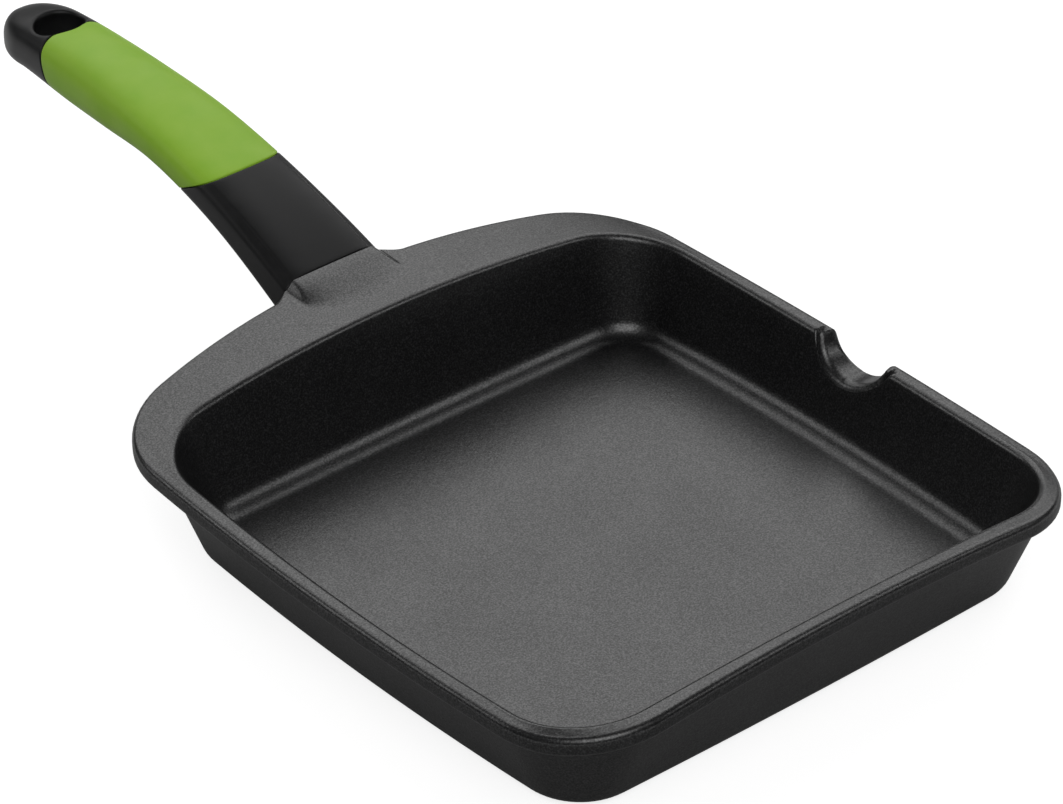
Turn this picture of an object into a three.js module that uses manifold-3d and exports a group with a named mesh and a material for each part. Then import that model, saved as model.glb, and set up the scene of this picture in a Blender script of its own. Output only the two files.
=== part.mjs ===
// Square griddle pan: one aluminium casting, a steel disc in its base, and a phenolic handle with a
// silicone sleeve, held by one screw. Millimetres, +Z up, origin on the underside at the middle of the
// pan, handle along +Y, pouring notch on +X.
import * as THREE from 'three';
import { mergeVertices } from 'three/addons/utils/BufferGeometryUtils.js';
import Module from 'manifold-3d';

const wasm = await Module();
wasm.setup();

// Fits
const FIT = 0.3;            // gap between pieces that are put together
const SEAT_GAP = 0.25;      // gap between faces that are clamped by the screw

// Pan cavity, measured on the inner wall at the height of the side rims
const CAVITY_HALF_X = 104.9;
const CAVITY_HALF_Y = 103.2;
const SIDE_BOW = 1188;      // radius of the slight outward bow of the left and right sides
const END_BOW = 3290;       // the same for the front and back sides
const CAVITY_CORNER = 27.5;
const DRAFT = THREE.MathUtils.degToRad(20.3);
const WALL = 4.6;
const FLOOR_TOP = 5.1;      // height of the cooking surface
const FLOOR_FILLET = 8;
const BOTTOM_FILLET = 6;

// Rim: its top is arched across the pan, higher at the middle of the front and back
const RIM_Z = 34.2;
const RIM_ARCH = 7.6;
const RIM_END_RISE = 1.1;
const LIP_WIDTH = 6;        // at the middle of each side
const LIP_HEIGHT = 6.5;
const LIP_INNER_ROUND = 2.4;
const LIP_OUTER_ROUND = 2.2;
const LIP_LOWER_ROUND = 2.2;
const LIP_CORNER = 36;
const LIP_SIDE_BOW = 1500;  // the lip's outer edge is straighter than the cavity

// Flange: the wide crescent of the lip on the handle side
const FLANGE_WIDTH = 30.1;  // from the cavity to the flange's edge, at its middle
const FLANGE_BOW = 345;
const FLANGE_CORNER = 38;

// Pouring notch in the right rim
const NOTCH_RADIUS = 13.5;  // at the rim's outer edge
const NOTCH_FLARE = 2.2;    // how much wider its radius is at the cavity
const NOTCH_DEPTH = 9.7;
const NOTCH_ROUND = 3.6;    // rounding of its inner edge
const NOTCH_LIP = 5.6;      // how far the lip dips under it
const NOTCH_SPREAD = 26;    // half the width of that dip

// Steel disc in the base
const DISC_RADIUS = 75;
const DISC_THICK = 1.2;
const DISC_EDGE = 0.3;      // chamfer of its lower edge
const DISC_PROUD = 0.4;     // how far it stands below the casting

// Boss that the handle butts on
const BOSS_PROUD = 1.7;     // from the flange's edge to the boss's face
const BOSS_RISE = 2.8;      // of the boss's top above the flange
const BOSS_RUN = 11;        // length of its flare into the flange
const BOSS_FLARE = 10;      // how much it widens there on each side
const BOSS_SUNK = 0.6;      // how far the flare starts below the flange's top

// Handle: its top line is a parabola from the root to its highest point. Places along it are measured
// from the root
const HANDLE_LENGTH = 172.4;
const APEX_AT = 130;
const APEX_RISE = 27.4;     // of the highest point above the root
const ROOT_WIDTH = 40;
const GRIP_THICK = 21.5;
const TIP_ROUND = 18.4;     // length of the rounded tip
// Shares of the length before the tip, of the root's width and of the grip's upright thickness, and the
// squareness, from the root over the waist and the swell of the grip to the tip
const STATIONS = [
  { at: 0, width: 1, thick: 0.86, square: 4.6 },
  { at: 0.305, width: 0.88, thick: 0.77, square: 3.2 },
  { at: 0.513, width: 0.83, thick: 0.79, square: 2.8 },
  { at: 0.682, width: 0.785, thick: 0.97, square: 2.6 },
  { at: 0.825, width: 0.75, thick: 1, square: 2.6 },
  { at: 1, width: 0.695, thick: 0.85, square: 2.8 },
];
const TIP_TURN = THREE.MathUtils.degToRad(83); // how far the tip's rounding turns before it ends flat
const TIP_NOSE = 0.8;       // power of its narrowing: lower is blunter
const TIP_EDGE = 0.6;       // the same for its thinning
const TIP_THIN = 0.55;      // share of the thickness that it loses

// Silicone sleeve, let into the handle
const SLEEVE_THICK = 2;
const SLEEVE_NEAR = 44.8;   // from the root to its near end, on the handle's top
const SLEEVE_NEAR_LEAN = THREE.MathUtils.degToRad(60);
const SLEEVE_FAR = 30.1;    // from the handle's tip to its far end, on the handle's top
const SLEEVE_FAR_LEAN = THREE.MathUtils.degToRad(18);

// Hanging hole
const HOLE_INSET = 24.1;    // from the handle's tip to the hole's middle
const HOLE_WIDTH = 17.6;
const HOLE_LENGTH = 16.2;

// Tang of the casting, in a frame that leans along the handle's root
const TANG_WIDTH = 22;
const TANG_LENGTH = 26;
const TANG_CORNER = 4;
const TANG_BOTTOM = -1.5;
const TANG_TOP = 5;
const TANG_BURIED = 6;      // how far it starts inside the boss

// Screw and washer
const SCREW_AT = 15;        // along the tang
const SCREW_RADIUS = 2.5;
const HEAD_RADIUS = 4.6;
const HEAD_HEIGHT = 2.4;
const WASHER_OUTER = 4.5;
const WASHER_THICK = 1;
const WASHER_SPLIT = THREE.MathUtils.degToRad(16);
const SEAT_WALL = 2.6;      // handle wall under the tang that the screw clamps
const SCREW_SHY = 0.6;      // how far the screw ends short of the tang's top

// Facets
const SIDE_STEPS = 16;
const CORNER_STEPS = 9;
const ROUND_STEPS = 3;
const FILLET_STEPS = 4;
const FLARE_STEPS = 4;
const SECTION_POINTS = 36;
const HANDLE_STEPS = 24;
const TIP_STEPS = 7;
const NOTCH_STEPS = 44;
const HOLE_STEPS = 24;
const SCREW_STEPS = 20;
const DISC_STEPS = 72;

const BEYOND = 20;          // how far cutters reach past what they cut

// Places that follow from these
const quarter = Math.PI / 2;
const tanDraft = Math.tan(DRAFT);
const wallAcross = WALL / Math.cos(DRAFT);
const crownZ = RIM_Z + RIM_ARCH + RIM_END_RISE; // the rim's height at the middle of the front and back
const flangeReach = CAVITY_HALF_Y + FLANGE_WIDTH;
const flangeZ = RIM_Z + RIM_ARCH + RIM_END_RISE * (flangeReach / CAVITY_HALF_Y) ** 2;
const rootY = flangeReach + BOSS_PROUD;
const rootTopZ = flangeZ + BOSS_RISE;
const apexY = rootY + APEX_AT;
const apexZ = rootTopZ + APEX_RISE;
const tipY = rootY + HANDLE_LENGTH;
const tipStart = tipY - TIP_ROUND;
const rootLean = Math.atan2(2 * APEX_RISE, APEX_AT);

// Solids from geometry, and back
function solid(geometry) {
  const bare = geometry.clone();
  bare.deleteAttribute('normal');
  bare.deleteAttribute('uv');
  const merged = mergeVertices(bare, 1e-4);
  return new wasm.Manifold(new wasm.Mesh({
    numProp: 3,
    vertProperties: new Float32Array(merged.attributes.position.array),
    triVerts: new Uint32Array(merged.index.array),
  }));
}

function geometryOf(body) {
  const { vertProperties, triVerts } = body.getMesh();
  const geometry = new THREE.BufferGeometry();
  geometry.setAttribute('position', new THREE.BufferAttribute(new Float32Array(vertProperties), 3));
  geometry.setIndex(new THREE.BufferAttribute(new Uint32Array(triVerts), 1));
  return geometry;
}

// A closed skin through rings of equal counts, with a fan over each end
function loft(rings) {
  const count = rings[0].length;
  const points = rings.flat();
  const index = [];
  for (let i = 0; i + 1 < rings.length; i += 1) {
    for (let j = 0; j < count; j += 1) {
      const a = i * count + j;
      const b = i * count + (j + 1) % count;
      index.push(a, a + count, b, b, a + count, b + count);
    }
  }
  const last = (rings.length - 1) * count;
  const middle = (ring) => ring.reduce((sum, p) => sum.add(p), new THREE.Vector3()).divideScalar(count);
  points.push(middle(rings[0]), middle(rings.at(-1)));
  for (let j = 0; j < count; j += 1) {
    const next = (j + 1) % count;
    index.push(points.length - 2, j, next);
    index.push(points.length - 1, last + next, last + j);
  }
  return new THREE.BufferGeometry().setFromPoints(points).setIndex(index);
}

// Pan outlines: four long arcs joined by corner arcs, each tangent to its neighbours.
// A sample is a place on the outline with its outward direction.
function arc(centre, radius, from, to, steps) {
  return Array.from({ length: steps }, (_, i) => {
    const angle = from + (to - from) * i / steps;
    const out = new THREE.Vector2(Math.cos(angle), Math.sin(angle));
    return { at: out.clone().multiplyScalar(radius).add(centre), out };
  });
}

function cornerCentre(side, sideReach, end, endReach, upwards) {
  const gap = end.clone().sub(side);
  const span = gap.length();
  const along = (span * span + sideReach * sideReach - endReach * endReach) / (2 * span);
  const off = Math.sqrt(sideReach * sideReach - along * along);
  const unit = gap.divideScalar(span);
  const across = new THREE.Vector2(-unit.y, unit.x).multiplyScalar(upwards ? off : -off);
  return side.clone().addScaledVector(unit, along).add(across);
}

function outline({ halfX, front, back, sideBow, frontBow, backBow, frontCorner, backCorner }) {
  const side = new THREE.Vector2(halfX - sideBow, 0);
  const backEnd = new THREE.Vector2(0, back - backBow);
  const frontEnd = new THREE.Vector2(0, frontBow - front);
  const backTurn = cornerCentre(side, sideBow - backCorner, backEnd, backBow - backCorner, true);
  const frontTurn = cornerCentre(side, sideBow - frontCorner, frontEnd, frontBow - frontCorner, false);
  const angle = (from, to) => Math.atan2(to.y - from.y, to.x - from.x);
  const low = angle(side, frontTurn);
  const high = angle(side, backTurn);
  const toBack = angle(backEnd, backTurn);
  const toFront = angle(frontEnd, frontTurn);
  const mirror = (v) => new THREE.Vector2(-v.x, v.y);
  return [
    ...arc(side, sideBow, low, high, SIDE_STEPS),
    ...arc(backTurn, backCorner, high, toBack, CORNER_STEPS),
    ...arc(backEnd, backBow, toBack, Math.PI - toBack, SIDE_STEPS),
    ...arc(mirror(backTurn), backCorner, Math.PI - toBack, Math.PI - high, CORNER_STEPS),
    ...arc(mirror(side), sideBow, Math.PI - high, Math.PI - low, SIDE_STEPS),
    ...arc(mirror(frontTurn), frontCorner, Math.PI - low, Math.PI - toFront, CORNER_STEPS),
    ...arc(frontEnd, frontBow, Math.PI - toFront, 2 * Math.PI + toFront, SIDE_STEPS),
    ...arc(frontTurn, frontCorner, toFront, low, CORNER_STEPS),
  ];
}

const place = ({ at, out }, offset, z) => new THREE.Vector3(
  at.x + out.x * offset,
  at.y + out.y * offset,
  z,
);

function rimZ({ at }) {
  const across = Math.min(Math.abs(at.x) / CAVITY_HALF_X, 1);
  const along = at.y / CAVITY_HALF_Y;
  return RIM_Z + RIM_ARCH * (1 - across * across) + RIM_END_RISE * along * along;
}

// Height of the lip's underside: it dips under the notch, so that the notch has a lip to pour over
function lipLow(spot) {
  const share = Math.min(Math.abs(spot.at.y) / NOTCH_SPREAD, 1);
  const dip = spot.at.x > 0 ? NOTCH_LIP * Math.cos(share * quarter) ** 2 : 0;
  return rimZ(spot) - LIP_HEIGHT - dip;
}

// Angles of a rounding, from one direction to the other
const sweep = (from, to, steps) => Array.from({ length: steps + 1 }, (_, i) => from + (to - from) * i / steps);

// The casting without its boss: rings from the middle of the floor, up the cavity's wall, over the lip
// and down to the recess in the base
function panShell() {
  const wall = outline({
    halfX: CAVITY_HALF_X,
    front: CAVITY_HALF_Y,
    back: CAVITY_HALF_Y,
    sideBow: SIDE_BOW,
    frontBow: END_BOW,
    backBow: END_BOW,
    frontCorner: CAVITY_CORNER,
    backCorner: CAVITY_CORNER,
  });
  const lip = outline({
    halfX: CAVITY_HALF_X + LIP_WIDTH,
    front: CAVITY_HALF_Y + (crownZ - RIM_Z) * tanDraft + LIP_WIDTH,
    back: flangeReach,
    sideBow: LIP_SIDE_BOW,
    frontBow: END_BOW,
    backBow: FLANGE_BOW,
    frontCorner: LIP_CORNER,
    backCorner: FLANGE_CORNER,
  });
  const tangent = Math.tan((quarter - DRAFT) / 2);
  const inside = (z) => (z - RIM_Z) * tanDraft;
  const outside = (z) => inside(z) + wallAcross;
  const bottom = DISC_PROUD;
  const rings = [];
  const fromWall = (spot) => rings.push(wall.map((s) => place(s, ...spot(rimZ(s), lipLow(s)))));
  const fromLip = (spot) => rings.push(lip.map((s) => place(s, ...spot(rimZ(s), lipLow(s)))));

  for (const turn of sweep(0, quarter - DRAFT, FILLET_STEPS)) {
    fromWall(() => [
      inside(FLOOR_TOP) - FLOOR_FILLET * tangent + FLOOR_FILLET * Math.sin(turn),
      FLOOR_TOP + FLOOR_FILLET * (1 - Math.cos(turn)),
    ]);
  }
  for (const turn of sweep(DRAFT, quarter, ROUND_STEPS)) {
    fromWall((z) => [
      inside(z) + LIP_INNER_ROUND * (tangent - Math.cos(turn)),
      z - LIP_INNER_ROUND * (1 - Math.sin(turn)),
    ]);
  }
  for (const turn of sweep(quarter, 0, ROUND_STEPS)) {
    fromLip((z) => [
      LIP_OUTER_ROUND * (Math.cos(turn) - 1),
      z - LIP_OUTER_ROUND * (1 - Math.sin(turn)),
    ]);
  }
  for (const turn of sweep(0, quarter, ROUND_STEPS)) {
    fromLip((z, low) => [
      LIP_LOWER_ROUND * (Math.cos(turn) - 1),
      low + LIP_LOWER_ROUND * (1 - Math.sin(turn)),
    ]);
  }
  fromWall((z, low) => [outside(low), low]);
  for (const turn of sweep(quarter - DRAFT, 0, FILLET_STEPS)) {
    fromWall(() => [
      outside(bottom) - BOTTOM_FILLET * tangent + BOTTOM_FILLET * Math.sin(turn),
      bottom + BOTTOM_FILLET * (1 - Math.cos(turn)),
    ]);
  }
  const circle = (radius, z) => wall.map(({ at }) => {
    const turn = Math.atan2(at.y, at.x);
    return new THREE.Vector3(radius * Math.cos(turn), radius * Math.sin(turn), z);
  });
  rings.push(circle(DISC_RADIUS + FIT, bottom), circle(DISC_RADIUS + FIT, DISC_THICK + FIT));
  return solid(loft(rings));
}

// Handle form: upright rounded sections along +Y
const handleTop = (y) => {
  const share = (y - apexY) / APEX_AT;
  return apexZ - APEX_RISE * share * share;
};

const stationCurve = (key, unit) => new THREE.CatmullRomCurve3(
  STATIONS.map((s) => new THREE.Vector3(rootY + s.at * (tipStart - rootY), s[key] * unit, 0)),
);
const curves = {
  width: stationCurve('width', ROOT_WIDTH),
  thick: stationCurve('thick', GRIP_THICK),
  square: stationCurve('square', 1),
};

// The value of a curve at a place along the handle, found by halving
function sizeAt(key, y) {
  let low = 0;
  let high = 1;
  for (let i = 0; i < 30; i += 1) {
    const half = (low + high) / 2;
    if (curves[key].getPoint(half).x < y) low = half;
    else high = half;
  }
  return curves[key].getPoint(low).y;
}

function sectionAt(y, { halfWidth, halfThick, middleZ, square }, leanTo = () => y) {
  return Array.from({ length: SECTION_POINTS }, (_, i) => {
    const turn = 2 * Math.PI * i / SECTION_POINTS;
    const bulge = (v) => Math.sign(v) * Math.abs(v) ** (2 / square);
    const z = middleZ + halfThick * bulge(Math.sin(turn));
    return new THREE.Vector3(halfWidth * bulge(Math.cos(turn)), leanTo(z), z);
  });
}

function handleSection(y, inset = 0) {
  const thick = sizeAt('thick', y);
  return {
    halfWidth: sizeAt('width', y) / 2 - inset,
    halfThick: thick / 2 - inset,
    middleZ: handleTop(y) - thick / 2,
    square: sizeAt('square', y),
  };
}

function handleForm(inset = 0) {
  const rings = sweep(rootY + FIT, tipStart, HANDLE_STEPS).map((y) => sectionAt(y, handleSection(y, inset)));
  for (const turn of sweep(0, TIP_TURN, TIP_STEPS).slice(1)) {
    const y = tipStart + (TIP_ROUND - inset) * Math.sin(turn);
    const at = handleSection(tipStart, inset);
    at.middleZ += handleTop(y) - handleTop(tipStart);
    at.halfWidth *= Math.cos(turn) ** TIP_NOSE;
    at.halfThick *= 1 - TIP_THIN * (1 - Math.cos(turn) ** TIP_EDGE);
    rings.push(sectionAt(y, at));
  }
  return solid(loft(rings));
}

// The boss that the handle butts on: the handle's root section carried back to the pan's wall, flaring
// into the flange
function boss() {
  const root = handleSection(rootY);
  const lowZ = root.middleZ - root.halfThick;
  const ring = (y, wider, top, leanTo) => sectionAt(y, {
    halfWidth: root.halfWidth + wider,
    halfThick: (top - lowZ) / 2,
    middleZ: (top + lowZ) / 2,
    square: root.square,
  }, leanTo);
  const inWall = (z) => CAVITY_HALF_Y + (z - RIM_Z) * tanDraft + wallAcross / 2;
  const flare = sweep(1, 0, FLARE_STEPS).map((back) => ring(
    rootY - BOSS_RUN * back,
    BOSS_FLARE * back * back,
    flangeZ - BOSS_SUNK + (BOSS_RISE + BOSS_SUNK) * (1 - back) * (1 - back),
  ));
  return solid(loft([ring(0, BOSS_FLARE, crownZ - LIP_HEIGHT / 2, inWall), ...flare]));
}

// Frame that leans along the handle's root, with its origin in the middle of the root's face
const rootFrame = new THREE.Matrix4()
  .makeRotationX(rootLean)
  .setPosition(0, rootY, handleSection(rootY).middleZ);

function tangBar(gap) {
  const half = TANG_WIDTH / 2 + gap;
  const end = TANG_LENGTH + gap;
  const corner = TANG_CORNER + gap;
  const shape = new THREE.Shape();
  shape.moveTo(-half, -TANG_BURIED);
  shape.lineTo(half, -TANG_BURIED);
  shape.lineTo(half, end - corner);
  shape.absarc(half - corner, end - corner, corner, 0, quarter);
  shape.absarc(corner - half, end - corner, corner, quarter, Math.PI);
  const bar = new THREE.ExtrudeGeometry(shape, {
    depth: TANG_TOP - TANG_BOTTOM + 2 * gap,
    bevelEnabled: false,
    curveSegments: ROUND_STEPS,
  });
  return solid(bar.translate(0, 0, TANG_BOTTOM - gap).applyMatrix4(rootFrame));
}

// A round cutter on the screw's axis, between two heights of the leaning frame
function screwBore(radius, from, to) {
  const bore = new THREE.CylinderGeometry(radius, radius, to - from, SCREW_STEPS);
  bore.rotateX(quarter).translate(0, SCREW_AT, (from + to) / 2);
  return solid(bore.applyMatrix4(rootFrame));
}

// Heights on the screw's axis, from the tang down to the head
const seatZ = TANG_BOTTOM - FIT - SEAT_WALL;
const washerZ = seatZ - SEAT_GAP - WASHER_THICK;
const headZ = washerZ - SEAT_GAP;

// Cutter of the pouring notch: rings along +X with a level bottom, narrowing from the cavity outwards
function notchCutter() {
  const floorZ = RIM_Z - NOTCH_DEPTH;
  const wallX = CAVITY_HALF_X - (NOTCH_DEPTH + NOTCH_ROUND) * tanDraft;
  const outerX = CAVITY_HALF_X + LIP_WIDTH;
  const ring = (x, radius, lowZ) => sweep(0, 2 * Math.PI, NOTCH_STEPS).slice(1).map((turn) => (
    new THREE.Vector3(x, -radius * Math.cos(turn), lowZ + radius * (1 + Math.sin(turn)))
  ));
  const inner = NOTCH_RADIUS + NOTCH_FLARE;
  const rings = [ring(wallX - BEYOND, inner + NOTCH_ROUND, floorZ - NOTCH_ROUND)];
  for (const turn of sweep(0, quarter, FILLET_STEPS)) {
    const round = NOTCH_ROUND * (1 - Math.sin(turn));
    rings.push(ring(wallX + NOTCH_ROUND * (1 - Math.cos(turn)), inner + round, floorZ - round));
  }
  rings.push(ring(outerX, NOTCH_RADIUS, floorZ), ring(outerX + BEYOND, NOTCH_RADIUS, floorZ));
  return solid(loft(rings));
}

function panBody() {
  return panShell()
    .add(boss())
    .add(tangBar(0))
    .subtract(notchCutter())
    .subtract(screwBore(SCREW_RADIUS + SEAT_GAP, TANG_BOTTOM - BEYOND, TANG_TOP + BEYOND));
}

// The stretch of the handle that the sleeve covers, between two leaning planes
function sleeveStretch(grow) {
  const start = rootY + SLEEVE_NEAR;
  const end = tipY - SLEEVE_FAR;
  const low = handleTop(start) - GRIP_THICK;
  const high = apexZ + BEYOND;
  const nearY = (z) => start - grow + (handleTop(start) - z) * Math.tan(SLEEVE_NEAR_LEAN);
  const farY = (z) => end + grow + (z - handleTop(end)) * Math.tan(SLEEVE_FAR_LEAN);
  const shape = new THREE.Shape();
  shape.moveTo(nearY(low), low);
  shape.lineTo(farY(low), low);
  shape.lineTo(farY(high), high);
  shape.lineTo(nearY(high), high);
  const prism = new THREE.ExtrudeGeometry(shape, { depth: 4 * BEYOND, bevelEnabled: false });
  prism.translate(0, 0, -2 * BEYOND);
  const upright = new THREE.Matrix4().makeBasis(
    new THREE.Vector3(0, 1, 0),
    new THREE.Vector3(0, 0, 1),
    new THREE.Vector3(1, 0, 0),
  );
  return solid(prism.applyMatrix4(upright));
}

function hangingHole(grow) {
  const shape = new THREE.Shape();
  shape.absellipse(0, 0, HOLE_WIDTH / 2 + grow, HOLE_LENGTH / 2 + grow, 0, 2 * Math.PI);
  const hole = new THREE.ExtrudeGeometry(shape, {
    depth: 3 * BEYOND,
    bevelEnabled: false,
    curveSegments: HOLE_STEPS,
  });
  return solid(hole.translate(0, tipY - HOLE_INSET, apexZ - 2 * BEYOND));
}

function handleCore() {
  const waist = handleForm(SLEEVE_THICK + FIT);
  return handleForm()
    .subtract(sleeveStretch(FIT / 2).subtract(waist))
    .subtract(hangingHole(0))
    .subtract(tangBar(FIT))
    .subtract(screwBore(SCREW_RADIUS + FIT, seatZ - BEYOND, TANG_TOP))
    .subtract(screwBore(HEAD_RADIUS + FIT, seatZ - BEYOND, seatZ));
}

function gripSleeve() {
  return handleForm()
    .intersect(sleeveStretch(-FIT / 2))
    .subtract(handleForm(SLEEVE_THICK))
    .subtract(hangingHole(FIT / 2));
}

function inductionDisc() {
  const profile = [
    [0, 0],
    [DISC_RADIUS - DISC_EDGE, 0],
    [DISC_RADIUS, DISC_EDGE],
    [DISC_RADIUS, DISC_THICK],
    [0, DISC_THICK],
  ].map(([r, z]) => new THREE.Vector2(r, z));
  return new THREE.LatheGeometry(profile, DISC_STEPS).rotateX(quarter);
}

function handleScrew() {
  const tip = TANG_TOP - SCREW_SHY;
  const dome = sweep(0, quarter, FILLET_STEPS).map((turn) => new THREE.Vector2(
    HEAD_RADIUS * Math.sin(turn),
    headZ - HEAD_HEIGHT * Math.cos(turn),
  ));
  const shank = [[SCREW_RADIUS, headZ], [SCREW_RADIUS, tip], [0, tip]];
  const profile = [...dome, ...shank.map(([r, z]) => new THREE.Vector2(r, z))];
  return new THREE.LatheGeometry(profile, SCREW_STEPS).rotateX(quarter);
}

function springWasher() {
  const bore = SCREW_RADIUS + FIT;
  const shape = new THREE.Shape();
  shape.absarc(0, 0, WASHER_OUTER, WASHER_SPLIT / 2, 2 * Math.PI - WASHER_SPLIT / 2);
  shape.absarc(0, 0, bore, 2 * Math.PI - WASHER_SPLIT / 2, WASHER_SPLIT / 2, true);
  return new THREE.ExtrudeGeometry(shape, {
    depth: WASHER_THICK,
    bevelEnabled: false,
    curveSegments: SCREW_STEPS,
  });
}

const material = (color, roughness, metalness) => new THREE.MeshStandardMaterial({ color, roughness, metalness });
const coatedAluminium = material(0x4a4b4d, 0.45, 0.35);
const blackPhenolic = material(0x2b2b2d, 0.5, 0);
const greenSilicone = material(0x86b53c, 0.6, 0);
const brushedSteel = material(0xb4b6b8, 0.35, 1);
const zincSteel = material(0xc2c4c6, 0.3, 1);

function piece(name, geometry, look) {
  const mesh = new THREE.Mesh(geometry, look);
  mesh.name = name;
  return mesh;
}

const pan = new THREE.Group();
pan.add(piece('pan_body', geometryOf(panBody()), coatedAluminium));
pan.add(piece('induction_disc', inductionDisc(), brushedSteel));
pan.add(piece('handle_core', geometryOf(handleCore()), blackPhenolic));
pan.add(piece('grip_sleeve', geometryOf(gripSleeve()), greenSilicone));

const fastening = new THREE.Group();
fastening.applyMatrix4(rootFrame);
const screw = piece('handle_screw', handleScrew(), zincSteel);
screw.position.set(0, SCREW_AT, 0);
const washer = piece('spring_washer', springWasher(), zincSteel);
washer.position.set(0, SCREW_AT, washerZ);
fastening.add(screw, washer);
pan.add(fastening);

export default pan;
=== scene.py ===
import math
from functools import partial

import bmesh
import bpy
import numpy as np
from mathutils import Matrix, Vector


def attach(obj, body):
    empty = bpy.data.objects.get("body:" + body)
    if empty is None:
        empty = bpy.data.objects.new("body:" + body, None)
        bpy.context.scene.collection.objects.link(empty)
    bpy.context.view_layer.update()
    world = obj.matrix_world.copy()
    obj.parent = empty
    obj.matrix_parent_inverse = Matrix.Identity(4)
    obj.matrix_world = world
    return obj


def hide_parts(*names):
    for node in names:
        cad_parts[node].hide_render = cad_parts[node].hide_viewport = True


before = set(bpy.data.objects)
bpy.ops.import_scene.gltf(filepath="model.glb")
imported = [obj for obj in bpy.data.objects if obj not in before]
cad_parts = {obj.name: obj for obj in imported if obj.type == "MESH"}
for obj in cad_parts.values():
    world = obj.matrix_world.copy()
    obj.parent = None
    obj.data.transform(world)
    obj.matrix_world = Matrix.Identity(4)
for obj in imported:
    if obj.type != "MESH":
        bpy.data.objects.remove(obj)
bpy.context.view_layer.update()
scene = bpy.context.scene
scene.view_settings.view_transform = "Standard"

MM = 0.001
QUARTER = math.pi / 2

# Camera, fitted to the rim, base and handle outlines. Pixels are those of the 1063 x 804 picture.
PICTURE_WIDTH, PICTURE_HEIGHT = 1063, 804
CAMERA_PLACE = (-873.78, -992.52, 936.02)
CAMERA_AZIMUTH, CAMERA_ELEVATION, CAMERA_ROLL = -40.127, 33.525, -0.27
FOCAL_PIXELS = 5159.44
AXIS_PIXEL = (512.874, 401.294)
SENSOR = 36
CLIP_METRES = (0.01, 50)

# Fits
FIT = 0.3
SEAT_GAP = 0.25

# Pan cavity and wall
CAVITY_HALF_X, CAVITY_HALF_Y = 104.9, 103.2
SIDE_BOW, END_BOW = 1188, 3290
CAVITY_CORNER = 27.5
DRAFT = math.radians(20.3)
WALL = 4.6
FLOOR_TOP = 5.1
FLOOR_FILLET, BOTTOM_FILLET = 8, 6
EDGE_SUPPORT = 1.0          # flat kept beside a fillet, so that it shades as flat

# Rim and lip
RIM_Z, RIM_ARCH, RIM_END_RISE = 34.2, 7.6, 1.1
LIP_WIDTH, LIP_HEIGHT = 6, 6.5
LIP_INNER_ROUND, LIP_OUTER_ROUND, LIP_LOWER_ROUND = 2.4, 2.2, 2.2
LIP_ROUND_MOST = 0.45       # largest share of the lip's height that one rounding takes
LIP_CORNER, LIP_SIDE_BOW = 36, 1500
LIP_UNDER_FILLET = 3.0      # of the lip's underside into the outer wall

# Flange on the handle side
FLANGE_WIDTH, FLANGE_BOW, FLANGE_CORNER = 30.1, 345, 38

# Pouring notch
NOTCH_RADIUS, NOTCH_FLARE, NOTCH_DEPTH, NOTCH_ROUND = 13.5, 2.2, 9.7, 3.6
NOTCH_LIP, NOTCH_SPREAD = 5.6, 26  # how deep the lip dips under it, and how far to each side
NOTCH_SOFT_BACK, NOTCH_SOFT_FRONT = 1.8, 13  # how far its two edges on the rim are rounded
NOTCH_EDGE = 0.05           # rounding left where its flare meets the wall
NOTCH_STEEP = 4             # slope that carries its sides on above the rim

# Base disc, with fine turned grooves on its lower face
DISC_RADIUS, DISC_THICK, DISC_EDGE, DISC_PROUD = 75, 1.2, 0.3, 0.4
GROOVE_PITCH, GROOVE_DEEP = 1.5, 0.06

# Boss that the handle butts on
BOSS_PROUD, BOSS_RISE = 1.7, 2.8
BOSS_RAMP, BOSS_END_RAMP = 20, 12  # run of its top into the flange, in the middle and at its ends
BOSS_END_ROUND = 4.2        # rounding of its two ends beside the handle
BOSS_END_LEAST = 0.25       # share of that rounding left where its top has sunk into the flange
BOSS_HALF = 17              # half width of its underside
BOSS_SLOPE = 12             # width of each sloping side under the flange
BOSS_PLAN_ROUND = 12        # hollow rounding of its sides into the flange's edge, seen from above
BOSS_EDGE = 0.4             # rounding of its edges at the handle

# Handle
HANDLE_LENGTH, APEX_AT, APEX_RISE = 172.4, 130, 27.4
ROOT_WIDTH, GRIP_THICK = 40, 21.5
TIP_ROUND, TIP_TURN = 18.4, math.radians(83)
TIP_END = math.radians(88.5)  # turn of the tip's last section, just short of its point
TIP_NOSE, TIP_EDGE = 0.8, 0.6  # powers of its narrowing and its thinning
TIP_THIN = 0.55             # share of its thickness that it loses
# Shares of the length before the tip, of the root's width and of the grip's thickness, and the squareness
STATIONS = np.array([
    (0, 1, 0.86, 4.6),
    (0.305, 0.88, 0.77, 3.2),
    (0.513, 0.83, 0.79, 2.8),
    (0.682, 0.785, 0.97, 2.6),
    (0.825, 0.75, 1, 2.6),
    (1, 0.695, 0.85, 2.8),
])
# Step down beside the root's flat top: its place and half its run as shares of half the handle's width,
# its depth, and where it fades out as shares of the way to the sleeve
CREASE_AT, CREASE_WIDE, CREASE_DEEP = 0.79, 0.03, 0.6
CREASE_FADE = (0.4, 1.15)

# Sleeve
SLEEVE_THICK = 2
SLEEVE_NEAR, SLEEVE_NEAR_LEAN = 44.8, math.radians(60)
SLEEVE_FAR, SLEEVE_FAR_LEAN = 30.1, math.radians(18)
SLEEVE_EDGE = 0.6           # rounding of its ends
SLEEVE_SOFT = 2.5           # rounding of its corners beside the hanging hole
CORE_EDGE = 0.5             # rounding of the handle's edges beside the sleeve
# Roundings: shares of the radius along the surface and into it
EDGE_ROUNDING = ((0, 1), (0.04, 0.7), (0.15, 0.4), (0.35, 0.18), (0.65, 0.05), (1, 0))

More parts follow.
